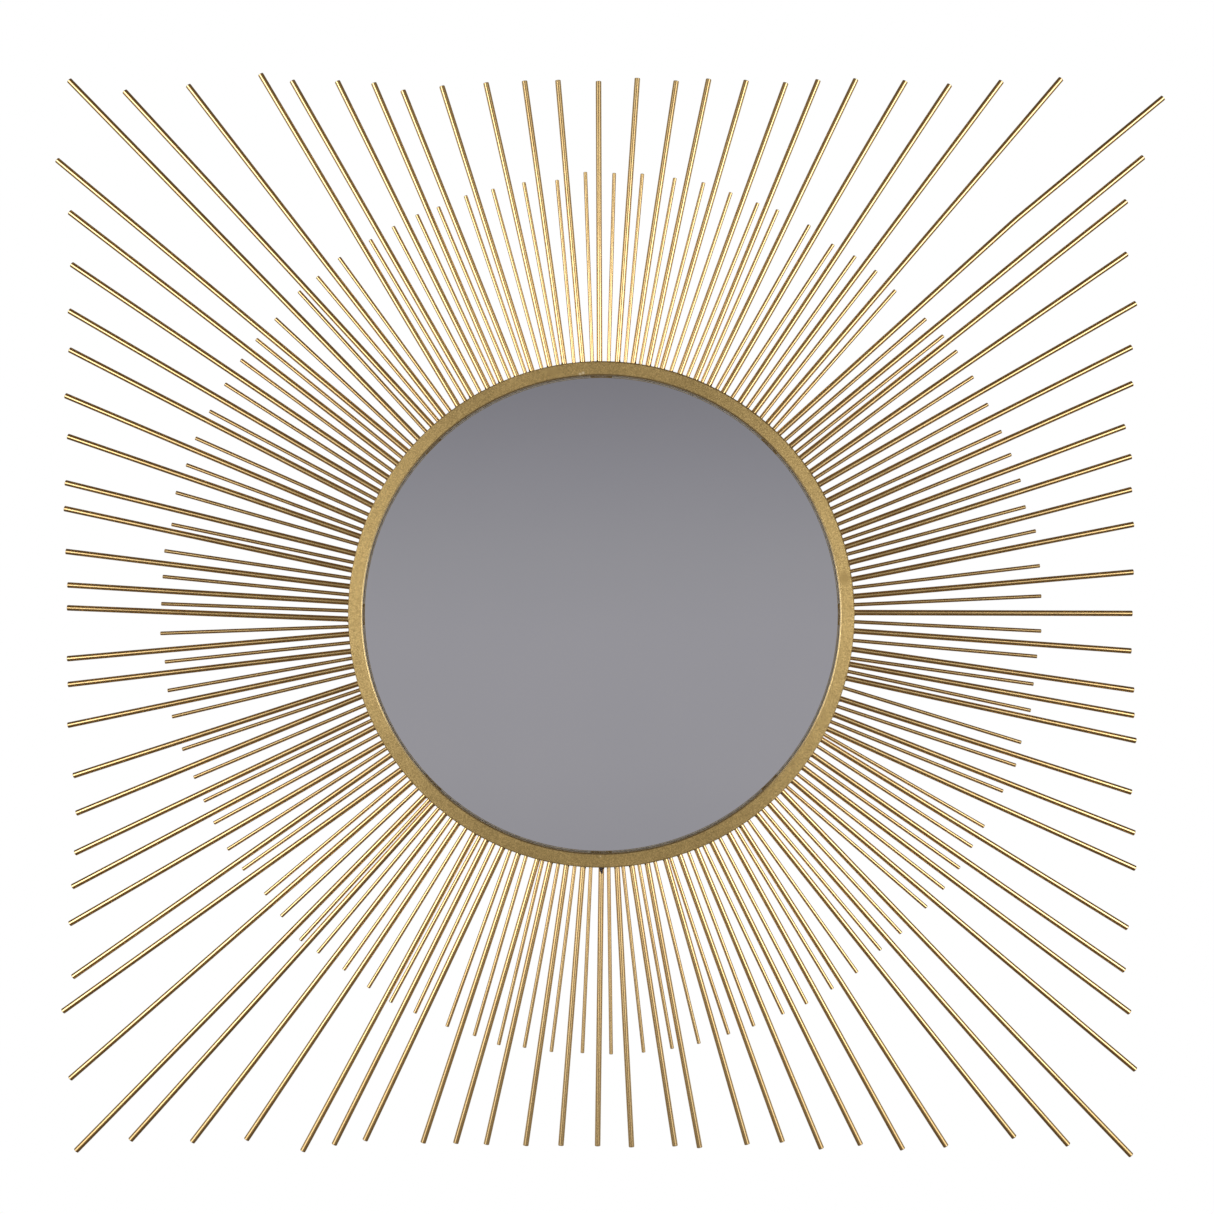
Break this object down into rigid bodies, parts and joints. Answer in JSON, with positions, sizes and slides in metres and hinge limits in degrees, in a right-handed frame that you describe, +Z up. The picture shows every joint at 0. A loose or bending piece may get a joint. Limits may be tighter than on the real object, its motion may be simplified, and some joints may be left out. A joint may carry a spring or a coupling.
{
  "type": "sunburst wall mirror",
  "caption": "Round wall mirror in a gold box-section ring, with a square sunburst of long and short gold rods welded all round it and keyhole hangers in its back.",
  "frame": {"origin": "centre of the ring, on the plane of the wall", "axes": "+Z up, front faces -Y, the wall is the plane y = 0, +X is to the right as seen from the front"},
  "size_m": [0.9379, 0.025, 0.9165],
  "materials": {
    "gold_ring": "satin",
    "gold_rods": "gloss",
    "mirror_glass": "polished",
    "fibreboard": "raw",
    "zinc_plate": "zinc plated",
    "zinc_screws": "zinc plated",
    "foam_tape": "matte",
    "mastic": "matte"
  },
  "bodies": {
    "root": {"backing_board": "fibreboard", "board_lugs": "gold_ring", "board_screws": "zinc_screws", "foam_tape_ring": "foam_tape", "hanger_plate_left": "zinc_plate", "hanger_plate_right": "zinc_plate", "hanger_screws_left": "zinc_screws", "hanger_screws_right": "zinc_screws", "long_rods_oclock_1": "gold_rods", "long_rods_oclock_10": "gold_rods", "long_rods_oclock_11": "gold_rods", "long_rods_oclock_12": "gold_rods", "long_rods_oclock_2": "gold_rods", "long_rods_oclock_3": "gold_rods", "long_rods_oclock_4": "gold_rods", "long_rods_oclock_5": "gold_rods", "long_rods_oclock_6": "gold_rods", "long_rods_oclock_7": "gold_rods", "long_rods_oclock_8": "gold_rods", "long_rods_oclock_9": "gold_rods", "mastic_dabs": "mastic", "mirror_glass": "mirror_glass", "ring_frame": "gold_ring", "short_rods_oclock_1": "gold_rods", "short_rods_oclock_10": "gold_rods", "short_rods_oclock_11": "gold_rods", "short_rods_oclock_12": "gold_rods", "short_rods_oclock_2": "gold_rods", "short_rods_oclock_3": "gold_rods", "short_rods_oclock_4": "gold_rods", "short_rods_oclock_5": "gold_rods", "short_rods_oclock_6": "gold_rods", "short_rods_oclock_7": "gold_rods", "short_rods_oclock_8": "gold_rods", "short_rods_oclock_9": "gold_rods"}
  },
  "joints": []
}
